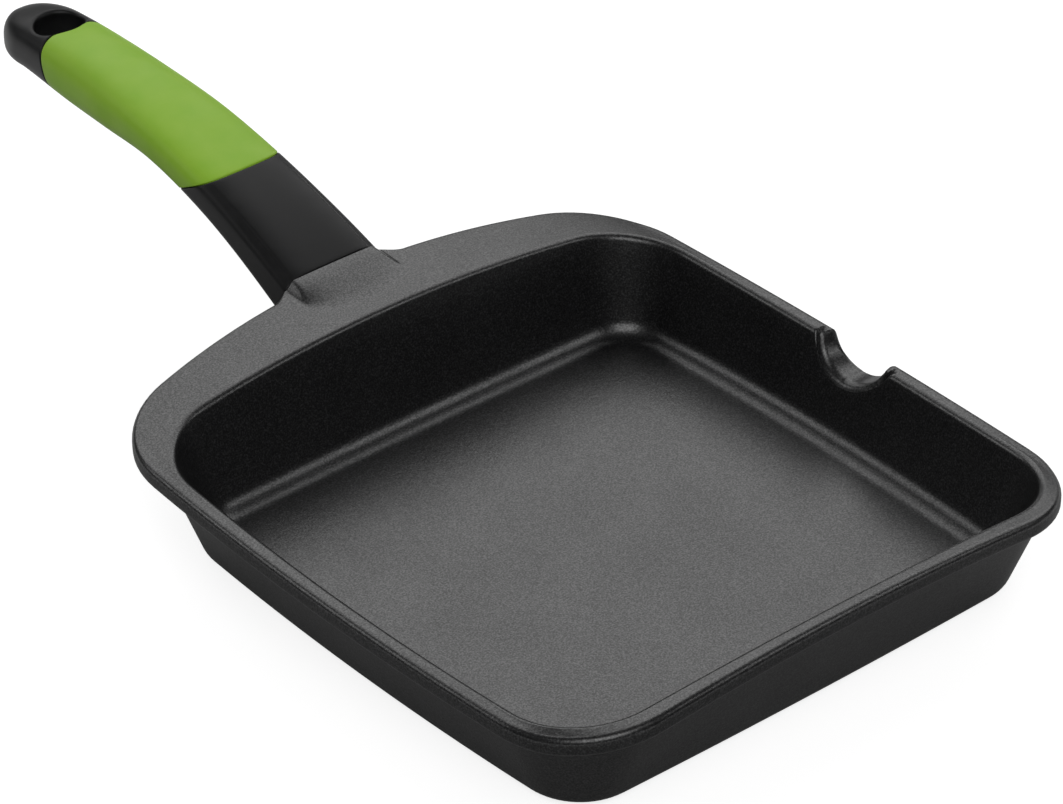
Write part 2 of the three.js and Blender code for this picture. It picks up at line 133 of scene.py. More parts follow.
# Hanging hole
HOLE_INSET, HOLE_WIDTH, HOLE_LENGTH = 24.1, 17.6, 16.2
HOLE_ROUND = 1.8            # rounding of its edges
HOLE_CLEAR = 5              # how far its cutter stands out of the handle

# Tang, screw and washer
TANG_WIDTH, TANG_LENGTH, TANG_CORNER, TANG_BOTTOM, TANG_TOP, TANG_BURIED = 22, 26, 4, -1.5, 5, 6
SCREW_AT, SCREW_RADIUS, SCREW_SHY = 15, 2.5, 0.6
HEAD_RADIUS, HEAD_HEIGHT = 4.6, 2.4
HEAD_FLAT = 0.06            # turn, in radians, at which the head's dome ends in a small flat
WASHER_THICK, SEAT_WALL = 1, 2.6
CROSS_LENGTH, CROSS_WIDTH, CROSS_DEPTH = 5.0, 1.1, 1.5
CROSS_TAPER = 0.8           # the recess's size at its floor, as a share of its mouth
CROSS_CLEAR = 1             # how far its cutter stands out of the head

# Cuts and shading
BEYOND = 20                 # how far the bores' cutters reach past what they cut
WELD = 0.003                # points closer than this become one after a cut
SMOOTH_BELOW = math.radians(35)  # edges that turn by less than this shade smooth

# Columns and rows of the skins. Columns crowd in zones at the notch and the boss.
CORNER_COLUMNS, PLAIN_COLUMNS, BESIDE_COLUMNS = 16, 24, 9
NOTCH_ZONE, NOTCH_COLUMNS = 26, 112
BOSS_ZONE, BOSS_COLUMNS = 40, 136
FILLET_ROWS, ROUND_ROWS, WALL_ROWS, TOP_ROWS, UNDER_ROWS = 10, 8, 4, 36, 16
TOP_CROWDING = 1.5          # power by which the top's rows crowd towards its outer edge
SECTION_COLUMNS, BODY_ROWS, WAIST_ROWS, TIP_ROWS = 224, 44, 24, 20
HOLE_COLUMNS, HOLE_ROWS = 96, 9
SCREW_COLUMNS, DOME_ROWS, DISC_COLUMNS = 48, 12, 144
CORNERS = ((1, -1), (1, 1), (-1, 1), (-1, -1))

# Places that follow from these
TAN_DRAFT = math.tan(DRAFT)
WALL_ACROSS = WALL / math.cos(DRAFT)
FILLET_TANGENT = math.tan((QUARTER - DRAFT) / 2)
CROWN_Z = RIM_Z + RIM_ARCH + RIM_END_RISE
FLANGE_REACH = CAVITY_HALF_Y + FLANGE_WIDTH
FLANGE_Z = RIM_Z + RIM_ARCH + RIM_END_RISE * (FLANGE_REACH / CAVITY_HALF_Y) ** 2
ROOT_Y = FLANGE_REACH + BOSS_PROUD
ROOT_HALF = ROOT_WIDTH / 2
ROOT_TOP_Z = FLANGE_Z + BOSS_RISE
APEX_Y, APEX_Z = ROOT_Y + APEX_AT, ROOT_TOP_Z + APEX_RISE
TIP_Y = ROOT_Y + HANDLE_LENGTH
TIP_START = TIP_Y - TIP_ROUND
TIP_REACH = TIP_ROUND * math.sin(TIP_TURN)
HOLE_Y = TIP_Y - HOLE_INSET
ROOT_LEAN = math.atan2(2 * APEX_RISE, APEX_AT)
ROOT_THICK = STATIONS[0][2] * GRIP_THICK
ROOT_MIDDLE_Z = ROOT_TOP_Z - ROOT_THICK / 2
ROOT_LOW_Z = ROOT_TOP_Z - ROOT_THICK
ROOT_FRAME = Matrix.Translation((0, ROOT_Y, ROOT_MIDDLE_Z)) @ Matrix.Rotation(ROOT_LEAN, 4, "X")
SEAT_Z = TANG_BOTTOM - FIT - SEAT_WALL
HEAD_Z = SEAT_Z - WASHER_THICK - 2 * SEAT_GAP


def make_camera():
    azimuth, elevation, roll = map(math.radians, (CAMERA_AZIMUTH, CAMERA_ELEVATION, CAMERA_ROLL))
    back = Vector((
        math.sin(azimuth) * math.cos(elevation),
        -math.cos(azimuth) * math.cos(elevation),
        math.sin(elevation),
    ))
    level = Vector((math.cos(azimuth), math.sin(azimuth), 0))
    upright = back.cross(level)
    right = level * math.cos(roll) + upright * math.sin(roll)
    up = upright * math.cos(roll) - level * math.sin(roll)
    turn = Matrix((right, up, back)).transposed().to_4x4()
    lens = bpy.data.cameras.new("camera")
    lens.sensor_width = SENSOR
    lens.lens = FOCAL_PIXELS * SENSOR / PICTURE_WIDTH
    lens.shift_x = (PICTURE_WIDTH / 2 - AXIS_PIXEL[0]) / PICTURE_WIDTH
    lens.shift_y = (AXIS_PIXEL[1] - PICTURE_HEIGHT / 2) / PICTURE_WIDTH
    lens.clip_start, lens.clip_end = CLIP_METRES
    camera = bpy.data.objects.new("camera", lens)
    scene.collection.objects.link(camera)
    camera.matrix_world = Matrix.Translation(Vector(CAMERA_PLACE) * MM) @ turn
    scene.camera = camera


make_camera()


# Meshes
def new_piece(name, points, faces):
    mesh = bpy.data.meshes.new(name)
    mesh.from_pydata((np.asarray(points) * MM).tolist(), [], faces)
    piece = bpy.data.objects.new(name, mesh)
    scene.collection.objects.link(piece)
    return piece


# A closed skin through rings of equal counts: a loop joins its last ring to its first, and any other
# skin gets a fan over each end
def loft(name, rings, loop=False):
    rings = [np.asarray(ring, float) for ring in rings]
    count, last = len(rings[0]), len(rings) - 1
    step = np.arange(count)
    following = (step + 1) % count
    faces = []
    for i in range(last + loop):
        here, there = i * count, (i + 1) % len(rings) * count
        faces += np.stack([here + step, there + step, there + following, here + following], 1).tolist()
    points = np.concatenate(rings)
    if not loop:
        ends = [rings[0].mean(0), rings[-1].mean(0)]
        first_end, last_end = len(points), len(points) + 1
        points = np.concatenate([points, ends])
        faces += [[first_end, j, k] for j, k in zip(step.tolist(), following.tolist())]
        end = last * count
        faces += [[last_end, end + k, end + j] for j, k in zip(step.tolist(), following.tolist())]
    piece = new_piece(name, points, faces)
    shell = bmesh.new()
    shell.from_mesh(piece.data)
    bmesh.ops.recalc_face_normals(shell, faces=shell.faces)
    shell.to_mesh(piece.data)
    shell.free()
    return piece


# Adds a solid to a piece or cuts it out, and uses the solid up
def combine(piece, tool, operation):
    change = piece.modifiers.new("change", "BOOLEAN")
    change.operation, change.solver, change.object = operation, "EXACT", tool
    with bpy.context.temp_override(object=piece, active_object=piece):
        bpy.ops.object.modifier_apply(modifier=change.name)
    bpy.data.meshes.remove(tool.data)


# Welds points that the cuts left nearly touching, splits faces of more than four corners, and drops faces
# without area and loose slivers
def clean_cuts(piece):
    shell = bmesh.new()
    shell.from_mesh(piece.data)
    bmesh.ops.remove_doubles(shell, verts=shell.verts, dist=WELD * MM)
    bmesh.ops.triangulate(shell, faces=[face for face in shell.faces if len(face.verts) > 4])
    bmesh.ops.dissolve_degenerate(shell, edges=shell.edges, dist=WELD * MM)
    waiting, largest = set(shell.faces), set()
    while waiting:
        front = [waiting.pop()]
        body = set(front)
        while front:
            beside = {face for edge in front.pop().edges for face in edge.link_faces} & waiting
            waiting -= beside
            body |= beside
            front += beside
        largest = max(largest, body, key=len)
    loose = [face for face in shell.faces if face not in largest]
    bmesh.ops.delete(shell, geom=loose, context="FACES")
    shell.to_mesh(piece.data)
    shell.free()


# Places given from the middle of the handle's root, with +Y along the handle there
def place_in_root_frame(points):
    return [tuple(ROOT_FRAME @ Vector(point)) for point in points]


# Blends: the lesser of two heights with a rounded change, and an eased step from 0 to 1
def lesser(a, b, soft):
    near = np.clip(1 - np.abs(a - b) / soft, 0, 1)
    return np.minimum(a, b) - near * near * soft / 4


def ease(value, start, end):
    share = np.clip((value - start) / (end - start), 0, 1)
    return share * share * (3 - 2 * share)


# Even steps from a start up to an end, without the end
def steps(start, end, count):
    return np.linspace(start, end, count, endpoint=False)


# Even shares between 0 and 1, without both
def inner_shares(count):
    return np.linspace(0, 1, count + 2)[1:-1]


def between(start, end, count):
    return [start + (end - start) * share for share in inner_shares(count)]


def circle(radius, z, turns):
    return np.column_stack([radius * np.cos(turns), radius * np.sin(turns), np.full(len(turns), z)])


# Pan outlines: four long arcs joined by corner arcs, each tangent to its neighbours. Both outlines have
# the columns of a zone at the same places.
def spread(start, end, zone_start, zone_end, columns):
    return np.concatenate([
        steps(start, zone_start, BESIDE_COLUMNS),
        steps(zone_start, zone_end, columns),
        steps(zone_end, end, BESIDE_COLUMNS),
    ])


def direction(start, end):
    return math.atan2(end[1] - start[1], end[0] - start[0])


# Centre of a corner arc, from the centres of the two arcs it joins and its distances to them
def corner_centre(side, side_reach, end, end_reach, way):
    gap = end - side
    span = np.linalg.norm(gap)
    along = (span ** 2 + side_reach ** 2 - end_reach ** 2) / (2 * span)
    off = math.sqrt(side_reach ** 2 - along ** 2)
    unit = gap / span
    return side + unit * along + np.array([-unit[1], unit[0]]) * off * way


def outline(half_x, front, back, side_bow, front_bow, back_bow, front_corner, back_corner):
    side = np.array([half_x - side_bow, 0])
    back_end, front_end = np.array([0, back - back_bow]), np.array([0, front_bow - front])
    back_turn = corner_centre(side, side_bow - back_corner, back_end, back_bow - back_corner, 1)
    front_turn = corner_centre(side, side_bow - front_corner, front_end, front_bow - front_corner, -1)
    low, high = direction(side, front_turn), direction(side, back_turn)
    to_back, to_front = direction(back_end, back_turn), direction(front_end, front_turn)
    side_low, side_high = side_bow * math.sin(low), side_bow * math.sin(high)
    notch_y = spread(side_low, side_high, -NOTCH_ZONE, NOTCH_ZONE, NOTCH_COLUMNS)
    back_half = back_bow * math.cos(to_back)
    boss_x = spread(back_half, -back_half, BOSS_ZONE, -BOSS_ZONE, BOSS_COLUMNS)
    mirror = np.array([-1, 1])
    runs = [
        (side, side_bow, np.arcsin(notch_y / side_bow)),
        (back_turn, back_corner, steps(high, to_back, CORNER_COLUMNS)),
        (back_end, back_bow, np.arccos(boss_x / back_bow)),
        (back_turn * mirror, back_corner, steps(math.pi - to_back, math.pi - high, CORNER_COLUMNS)),
        (side * mirror, side_bow, steps(math.pi - high, math.pi - low, PLAIN_COLUMNS)),
        (front_turn * mirror, front_corner, steps(math.pi - low, math.pi - to_front, CORNER_COLUMNS)),
        (front_end, front_bow, steps(math.pi - to_front, math.tau + to_front, PLAIN_COLUMNS)),
        (front_turn, front_corner, steps(to_front, low, CORNER_COLUMNS)),
    ]
    return np.concatenate([c + r * np.stack([np.cos(a), np.sin(a)], 1) for c, r, a in runs])


# Outward directions along a closed outline
def outward(places):
    along = np.roll(places, -1, 0) - np.roll(places, 1, 0)
    out = np.stack([along[:, 1], -along[:, 0]], 1)
    return out / np.linalg.norm(out, axis=1, keepdims=True)


# An outline moved outward, at one height or one for each place
def moved_out(places, out, offset, z):
    spots = places + out * np.broadcast_to(offset, len(places))[:, None]
    return np.column_stack([spots, np.broadcast_to(z, len(places))])


# How far the drafted wall's two faces lie outside the cavity's outline at a height
def inner_face(z):
    return (z - RIM_Z) * TAN_DRAFT


def outer_face(z):
    return inner_face(z) + WALL_ACROSS


def rim_height(x, y):
    across = np.minimum(np.abs(x) / CAVITY_HALF_X, 1)
    return RIM_Z + RIM_ARCH * (1 - across ** 2) + RIM_END_RISE * (y / CAVITY_HALF_Y) ** 2


# The notch: a channel that widens towards the cavity and flares round into its drafted wall. On the other
# half of the pan it lies far above the rim.
def notch_height(x, y, at_wall=False):
    def rise(radius):
        return radius - np.sqrt(np.clip(radius ** 2 - y ** 2, 0, None))

    floor = RIM_Z - NOTCH_DEPTH
    share = np.clip((CAVITY_HALF_X + LIP_WIDTH - x) / (LIP_WIDTH + NOTCH_DEPTH * TAN_DRAFT), 0, 1)
    radius = NOTCH_RADIUS + NOTCH_FLARE * share
    full_flare = NOTCH_ROUND * (1 - math.sin(DRAFT))
    edge = np.minimum(rise(radius + full_flare) - full_flare, NOTCH_DEPTH)
    wall_x = CAVITY_HALF_X + (edge - NOTCH_DEPTH) * TAN_DRAFT
    from_wall = np.clip(x - wall_x, 0, None) / NOTCH_ROUND * (not at_wall)
    along = np.clip(1 - math.cos(DRAFT) + from_wall, 0, 1)
    flare = NOTCH_ROUND * (1 - np.sqrt(1 - (1 - along) ** 2))
    beyond = np.clip(np.abs(y) - radius - flare, 0, None)
    height = floor - flare + rise(radius + flare) + NOTCH_STEEP * beyond
    return np.where(x > CAVITY_HALF_X / 2, height, 2 * CROWN_Z)


# The boss: its top is a ridge with rounded ends that sinks into the flange away from the handle's root,
# and its underside is a block with sloping sides
def boss_rise(x, y):
    aside = np.minimum(np.abs(x) / ROOT_HALF, 1)
    ramp = BOSS_RAMP + (BOSS_END_RAMP - BOSS_RAMP) * aside ** 3
    height = 1 - ease(ROOT_Y - y, 0, ramp)
    end = BOSS_END_ROUND / ROOT_HALF * (BOSS_END_LEAST + (1 - BOSS_END_LEAST) * height)
    return BOSS_RISE * height * (1 - ease(aside, 1 - end, 1))


def boss_drop(x, y):
    depth = FLANGE_Z - LIP_HEIGHT - ROOT_LOW_Z
    return np.where(y > 0, depth * (1 - ease(np.abs(x), BOSS_HALF, BOSS_HALF + BOSS_SLOPE)), 0)


# The lip's outline with the boss's face and its hollow sides standing out from the flange's edge, and how
# much each place belongs to the boss, from 0 to 1
def with_boss(lip):
    aside = np.abs(lip[:, 0])
    flange_drop = FLANGE_BOW - math.sqrt(FLANGE_BOW ** 2 - ROOT_HALF ** 2)
    proud = BOSS_PROUD + flange_drop
    run = math.sqrt(2 * BOSS_PLAN_ROUND * proud - proud ** 2)
    in_hollow = np.clip(ROOT_HALF + run - aside, 0, run)
    hollow = BOSS_PLAN_ROUND - np.sqrt(BOSS_PLAN_ROUND ** 2 - in_hollow ** 2)
    at_back = lip[:, 1] > CAVITY_HALF_Y
    edge_y = np.where(aside < ROOT_HALF, ROOT_Y, np.minimum(lip[:, 1] + hollow, ROOT_Y))
    at_boss = np.where(at_back, 1 - ease(aside, ROOT_HALF, ROOT_HALF + run), 0)
    return np.column_stack([lip[:, 0], np.where(at_back, edge_y, lip[:, 1])]), at_boss


def top_height(x, y, at_wall=False):
    soft = np.where(y > 0, NOTCH_SOFT_BACK, NOTCH_SOFT_FRONT)
    return lesser(rim_height(x, y), notch_height(x, y, at_wall), soft) + boss_rise(x, y)


def under_height(x, y):
    share = np.minimum(np.abs(y) / NOTCH_SPREAD, 1)
    dip = np.where(x > 0, NOTCH_LIP * np.cos(share * QUARTER) ** 2, 0)
    return rim_height(x, y) - LIP_HEIGHT - dip - boss_drop(x, y)


# Rows between two rings that follow a height and meet both rings
def between_heights(start, end, height, shares):
    start_error = start[:, 2] - height(*start[:, :2].T)
    end_error = end[:, 2] - height(*end[:, :2].T)
    rows = []
    for share in shares:
        row = start + (end - start) * share
        row[:, 2] = height(*row[:, :2].T) + start_error * (1 - share) + end_error * share
        rows.append(row)
    return rows


# The casting: rings from the middle of the floor, up the cavity's wall, over the lip, the flange and the
# boss, and down to the recess in the base
def casting_rings():
    wall = outline(
        CAVITY_HALF_X, CAVITY_HALF_Y, CAVITY_HALF_Y,
        SIDE_BOW, END_BOW, END_BOW, CAVITY_CORNER, CAVITY_CORNER,
    )
    lip, at_boss = with_boss(outline(
        CAVITY_HALF_X + LIP_WIDTH, CAVITY_HALF_Y + inner_face(CROWN_Z) + LIP_WIDTH, FLANGE_REACH,
        LIP_SIDE_BOW, END_BOW, FLANGE_BOW, LIP_CORNER, FLANGE_CORNER,
    ))
    wall_out = outward(wall)
    from_wall, from_lip = partial(moved_out, wall, wall_out), partial(moved_out, lip, outward(lip))
    edge_z = top_height(*wall.T, at_wall=True)
    lip_z, lip_low = top_height(*lip.T), under_height(*lip.T)
    wall_low = under_height(wall[:, 0], wall[:, 1] + wall_out[:, 1] * WALL_ACROSS)
    notched = ease(rim_height(*wall.T) - edge_z, 0, NOTCH_DEPTH / 2)
    inner_round = LIP_INNER_ROUND + (NOTCH_EDGE - LIP_INNER_ROUND) * notched
    outer_round, lower_round = [
        np.minimum(radius + (BOSS_EDGE - radius) * at_boss, LIP_ROUND_MOST * (lip_z - lip_low))
        for radius in (LIP_OUTER_ROUND, LIP_LOWER_ROUND)
    ]

    # The floor's fillet, the cavity's wall and the rounding at its top
    fillet_start = inner_face(FLOOR_TOP) - FLOOR_FILLET * FILLET_TANGENT
    rings = [from_wall(fillet_start - EDGE_SUPPORT, FLOOR_TOP)]
    for turn in np.linspace(0, QUARTER - DRAFT, FILLET_ROWS):
        rings.append(from_wall(
            fillet_start + FLOOR_FILLET * math.sin(turn),
            FLOOR_TOP + FLOOR_FILLET * (1 - math.cos(turn)),
        ))
    rounding = [
        from_wall(
            inner_face(edge_z) + inner_round * (FILLET_TANGENT - math.cos(turn)),
            edge_z - inner_round * (1 - math.sin(turn)),
        )
        for turn in np.linspace(DRAFT, QUARTER, ROUND_ROWS)
    ]
    rings += between(rings[-1], rounding[0], WALL_ROWS) + rounding

    # Across the top, where rows crowd towards the outer edge, and round that edge
    over_edge = [
        from_lip(outer_round * (math.cos(turn) - 1), lip_z - outer_round * (1 - math.sin(turn)))
        for turn in np.linspace(QUARTER, 0, ROUND_ROWS)
    ]
    shares = 1 - (1 - inner_shares(TOP_ROWS)) ** TOP_CROWDING
    rings += between_heights(rounding[-1], over_edge[0], top_height, shares)
    under_edge = [
        from_lip(lower_round * (math.cos(turn) - 1), lip_low + lower_round * (1 - math.sin(turn)))
        for turn in np.linspace(0, QUARTER, ROUND_ROWS)
    ]
    rings += over_edge + between(over_edge[-1], under_edge[0], 1) + under_edge

    # Under the lip and the boss, to a hollow rounding at the outer wall
    radius = LIP_UNDER_FILLET
    corner = outer_face(wall_low) + radius * FILLET_TANGENT
    hollow_rows = [
        from_wall(corner + radius * math.cos(turn), wall_low - radius + radius * math.sin(turn))
        for turn in np.linspace(QUARTER, math.pi - DRAFT, ROUND_ROWS)
    ]
    rings += between_heights(under_edge[-1], hollow_rows[0], under_height, inner_shares(UNDER_ROWS))
    rings += hollow_rows

    # Down the outer wall, round the bottom's edge and into the recess for the disc
    bottom = DISC_PROUD
    bottom_start = outer_face(bottom) - BOTTOM_FILLET * FILLET_TANGENT
    bottom_rows = [
        from_wall(
            bottom_start + BOTTOM_FILLET * math.sin(turn),
            bottom + BOTTOM_FILLET * (1 - math.cos(turn)),
        )
        for turn in np.linspace(QUARTER - DRAFT, 0, FILLET_ROWS)
    ]
    rings += between(hollow_rows[-1], bottom_rows[0], WALL_ROWS) + bottom_rows
    rings.append(from_wall(bottom_start - EDGE_SUPPORT, bottom))
    turns = np.arctan2(wall[:, 1], wall[:, 0])
    recess = DISC_RADIUS + FIT
    rings.append(circle(recess + DISC_EDGE, bottom, turns))
    rings.append(circle(recess, bottom + DISC_EDGE, turns))
    rings.append(circle(recess, DISC_THICK + FIT, turns))
    return rings


# The tang, or with a gap the socket for it, with rounded outer corners
def tang_bar(gap):
    half, end, corner = TANG_WIDTH / 2 + gap, TANG_LENGTH + gap, TANG_CORNER + gap
    turns = np.linspace(0, QUARTER, ROUND_ROWS)
    rounded = [(half - corner + corner * math.cos(t), end - corner + corner * math.sin(t)) for t in turns]
    plan = [(half, -TANG_BURIED)] + rounded + [(-x, y) for x, y in rounded[::-1]] + [(-half, -TANG_BURIED)]
    heights = (TANG_TOP + gap, TANG_BOTTOM - gap)
    return loft("tang", [place_in_root_frame([(x, y, z) for x, y in plan]) for z in heights])


# A turned solid on the screw's axis, from radii and heights
def turned(name, profile):
    turns = steps(0, math.tau, SCREW_COLUMNS)
    return loft(name, [
        place_in_root_frame([(r * math.cos(t), SCREW_AT + r * math.sin(t), z) for t in turns])
        for r, z in profile
    ])


# Handle form: upright rounded sections along +Y
SECTION_TURNS = steps(0, math.tau, SECTION_COLUMNS)


def handle_top(y):
    return APEX_Z - APEX_RISE * ((y - APEX_Y) / APEX_AT) ** 2


# A smooth curve through the stations, with slopes from their neighbours
def station_sizes(y):
    at = ROOT_Y + STATIONS[:, 0] * (TIP_START - ROOT_Y)
    values = STATIONS[:, 1:] * (ROOT_WIDTH, GRIP_THICK, 1)
    slopes = np.gradient(values, at, axis=0)
    i = np.clip(np.searchsorted(at, y, side="right") - 1, 0, len(at) - 2)
    span = at[i + 1] - at[i]
    t = ((y - at[i]) / span)[..., None]
    span = span[..., None]
    return (
        values[i] * (1 + 2 * t) * (1 - t) ** 2 + slopes[i] * span * t * (1 - t) ** 2
        + values[i + 1] * t ** 2 * (3 - 2 * t) + slopes[i + 1] * span * t ** 2 * (t - 1)
    )


# Width, thickness and squareness of the sections, and how much the tip narrows and thins them
def section_sizes(y):
    before_tip = np.minimum(y, TIP_START)
    width, thick, square = np.moveaxis(station_sizes(before_tip), -1, 0)
    nose = np.sqrt(np.clip(1 - ((y - before_tip) / TIP_REACH) ** 2, 0, 1))
    return width, thick, square, nose ** TIP_NOSE, 1 - TIP_THIN * (1 - nose ** TIP_EDGE)


def squared(value, square):
    return np.sign(value) * np.abs(value) ** (2 / square)


# Places on the handle at each angle round it, with its surface moved in
def handle_ring(y, inset=0):
    width, thick, square, narrowing, thinning = section_sizes(y)
    half_width = (width / 2 - inset) * narrowing
    half_thick = (thick / 2 - inset) * thinning
    x = half_width * squared(np.cos(SECTION_TURNS), square)
    height = squared(np.sin(SECTION_TURNS), square)
    crease = ease(np.abs(x) / (width / 2), CREASE_AT - CREASE_WIDE, CREASE_AT + CREASE_WIDE)
    fade = 1 - ease(y, *(ROOT_Y + share * SLEEVE_NEAR for share in CREASE_FADE))
    z = handle_top(y) - thick / 2 + half_thick * height - CREASE_DEEP * crease * fade * np.maximum(height, 0)
    return np.stack([x, y, z], -1)


# Where the handle's skin meets a plane that leans from a place on its top, at each angle round it. Each
# pass goes a share of the way to the plane.
LEAN_PASSES, LEAN_SHARE = 80, 0.5


def leaning_line(start, slope):
    y = np.full(SECTION_COLUMNS, float(start))
    for _ in range(LEAN_PASSES):
        drop = handle_top(start) - handle_ring(y)[:, 2]
        y += LEAN_SHARE * (start + drop * slope - y)
    return y


def sleeve_ends():
    near = leaning_line(ROOT_Y + SLEEVE_NEAR, math.tan(SLEEVE_NEAR_LEAN))
    far = leaning_line(TIP_Y - SLEEVE_FAR, -math.tan(SLEEVE_FAR_LEAN))
    across = handle_ring(far)[:, 0] / (HOLE_WIDTH / 2 + FIT / 2)
    hole = HOLE_Y - (HOLE_LENGTH / 2 + FIT / 2) * np.sqrt(np.clip(1 - across ** 2, 0, 1))
    return near, lesser(far, hole, SLEEVE_SOFT)


# Rows of the handle: where each lies along it, and how far its surface is moved in
def rows_between(start, end, count, inset=0):
    return [(y, inset) for y in between(start, end, count)]


def rising_edge(y, radius):
    return [(y + radius * along, radius * into) for along, into in EDGE_ROUNDING]


def falling_edge(y, radius):
    return [(y - radius * along, radius * into) for along, into in EDGE_ROUNDING[::-1]]


def handle_core_rings():
    near, far = sleeve_ends()
    near, far = near - FIT / 2, far + FIT / 2
    waist = SLEEVE_THICK + FIT
    root = np.full(SECTION_COLUMNS, ROOT_Y + FIT)
    tip_start = np.full(SECTION_COLUMNS, TIP_START)
    rows = rising_edge(root, BOSS_EDGE)
    rows += rows_between(root + BOSS_EDGE, near - CORE_EDGE, BODY_ROWS)
    rows += falling_edge(near, CORE_EDGE) + [(near, waist)]
    rows += rows_between(near, far, WAIST_ROWS, waist)
    rows += [(far, waist)] + rising_edge(far, CORE_EDGE)
    rows += rows_between(far + CORE_EDGE, tip_start, TIP_ROWS)
    rows += [(tip_start + TIP_REACH * math.sin(t), 0) for t in np.linspace(0, TIP_END, TIP_ROWS)]
    return [handle_ring(*row) for row in rows]


def sleeve_rings():
    near, far = sleeve_ends()
    near, far = near + FIT / 2, far - FIT / 2
    rows = [(near, SLEEVE_THICK)] + rising_edge(near, SLEEVE_EDGE)
    rows += rows_between(near + SLEEVE_EDGE, far - SLEEVE_EDGE, BODY_ROWS)
    rows += falling_edge(far, SLEEVE_EDGE) + [(far, SLEEVE_THICK)]
    rows += rows_between(far, near, WAIST_ROWS, SLEEVE_THICK)
    return [handle_ring(*row) for row in rows]


# The hanging hole, with edges rounded into the handle's top and underside
def hole_cutter():
    turns = steps(0, math.tau, HOLE_COLUMNS)

    def hole_ring(grow, depth, side):
        x = (HOLE_WIDTH / 2 + grow) * np.cos(turns)
        y = HOLE_Y + (HOLE_LENGTH / 2 + grow) * np.sin(turns)
        width, thick, square, narrowing, thinning = section_sizes(y)
        full = (1 - np.clip(np.abs(x) / (width / 2 * narrowing), 0, 1) ** square) ** (1 / square)
        half = thick / 2 * thinning * full
        return np.column_stack([x, y, handle_top(y) - thick / 2 + side * (half - depth)])

    rounding = [(HOLE_ROUND, -HOLE_CLEAR)]
    for turn in np.linspace(0, QUARTER, HOLE_ROWS):
        rounding.append((HOLE_ROUND * (1 - math.sin(turn)), HOLE_ROUND * (1 - math.cos(turn))))
    above, below = [[hole_ring(*step, side) for step in rounding] for side in (1, -1)]
    return loft("hole", below + above[::-1])


def make_screw():
    low, tip = HEAD_Z - HEAD_HEIGHT, TANG_TOP - SCREW_SHY
    dome = [
        (HEAD_RADIUS * math.sin(turn), HEAD_Z - HEAD_HEIGHT * math.cos(turn))
        for turn in np.linspace(HEAD_FLAT, QUARTER, DOME_ROWS)
    ]
    shank = [(SCREW_RADIUS, HEAD_Z), (SCREW_RADIUS, tip - SCREW_SHY), (SCREW_RADIUS - SCREW_SHY, tip)]
    screw = turned("screw", dome + shank)
    for size_x, size_y in ((CROSS_LENGTH, CROSS_WIDTH), (CROSS_WIDTH, CROSS_LENGTH)):
        corners = [(x * size_x / 2, y * size_y / 2) for x, y in CORNERS]
        slot = loft("slot", [
            place_in_root_frame([(x * share, SCREW_AT + y * share, z) for x, y in corners])
            for share, z in ((1, low - CROSS_CLEAR), (CROSS_TAPER, low + CROSS_DEPTH))
        ])
        combine(screw, slot, "DIFFERENCE")
    clean_cuts(screw)
    return screw


def make_disc():
    radii = np.arange(2 * GROOVE_PITCH, DISC_RADIUS - DISC_EDGE - GROOVE_PITCH / 2, GROOVE_PITCH / 2)
    profile = [(r, GROOVE_DEEP * (i % 2)) for i, r in enumerate(radii)]
    profile += [(DISC_RADIUS - DISC_EDGE, 0), (DISC_RADIUS, DISC_EDGE), (DISC_RADIUS, DISC_THICK)]
    turns = steps(0, math.tau, DISC_COLUMNS)
    return loft("base_disc", [circle(r, z, turns) for r, z in profile])


def make_casting():
    casting = loft("casting", casting_rings())
    combine(casting, tang_bar(0), "UNION")
    bore = SCREW_RADIUS + SEAT_GAP
    combine(casting, turned("bore", ((bore, -BEYOND), (bore, BEYOND))), "DIFFERENCE")
    clean_cuts(casting)
    return casting


def make_handle():
    handle = loft("handle", handle_core_rings())
    combine(handle, hole_cutter(), "DIFFERENCE")
    combine(handle, tang_bar(FIT), "DIFFERENCE")
    for radius, top in ((SCREW_RADIUS + FIT, TANG_TOP), (HEAD_RADIUS + FIT, SEAT_Z)):
        combine(handle, turned("bore", ((radius, SEAT_Z - BEYOND), (radius, top))), "DIFFERENCE")
    clean_cuts(handle)
    return handle


# Colours are written as sRGB hex and used as linear
def linear(hex_colour):
    parts = [int(hex_colour[i:i + 2], 16) / 255 for i in (1, 3, 5)]
    return [p / 12.92 if p <= 0.04045 else ((p + 0.055) / 1.055) ** 2.4 for p in parts] + [1]


# Sets a node's inputs, each to a value or to the output that feeds it
def wire(tree, node, inputs):
    for name, value in inputs.items():
        if isinstance(value, bpy.types.NodeSocket):
            tree.links.new(value, node.inputs[name])
        else:
            node.inputs[name].default_value = value


# Adds a node: settings are its properties, and stops are a ramp's places, each with a colour or a grey
def add(tree, kind, inputs=None, stops=(), **settings):
    node = tree.nodes.new("ShaderNode" + kind)
    for name, value in settings.items():
        setattr(node, name, value)
    for i, (position, colour) in enumerate(stops):
        element = node.color_ramp.elements[i]
        element.position = position
        element.color = linear(colour) if isinstance(colour, str) else (colour, colour, colour, 1)
    wire(tree, node, inputs or {})
    return node


# A pattern's scale from the real size of one of its cells
def per(size):
    return 1 / (size * MM)


# A material with constant inputs on its shader, and the places that its patterns start from
def new_material(name, constants):
    material = bpy.data.materials.new(name)
    material.use_nodes = True
    tree = material.node_tree
    surface = tree.nodes["Principled BSDF"]
    wire(tree, surface, constants)
    place = add(tree, "TexCoord").outputs["Object"]
    return material, tree, surface, place


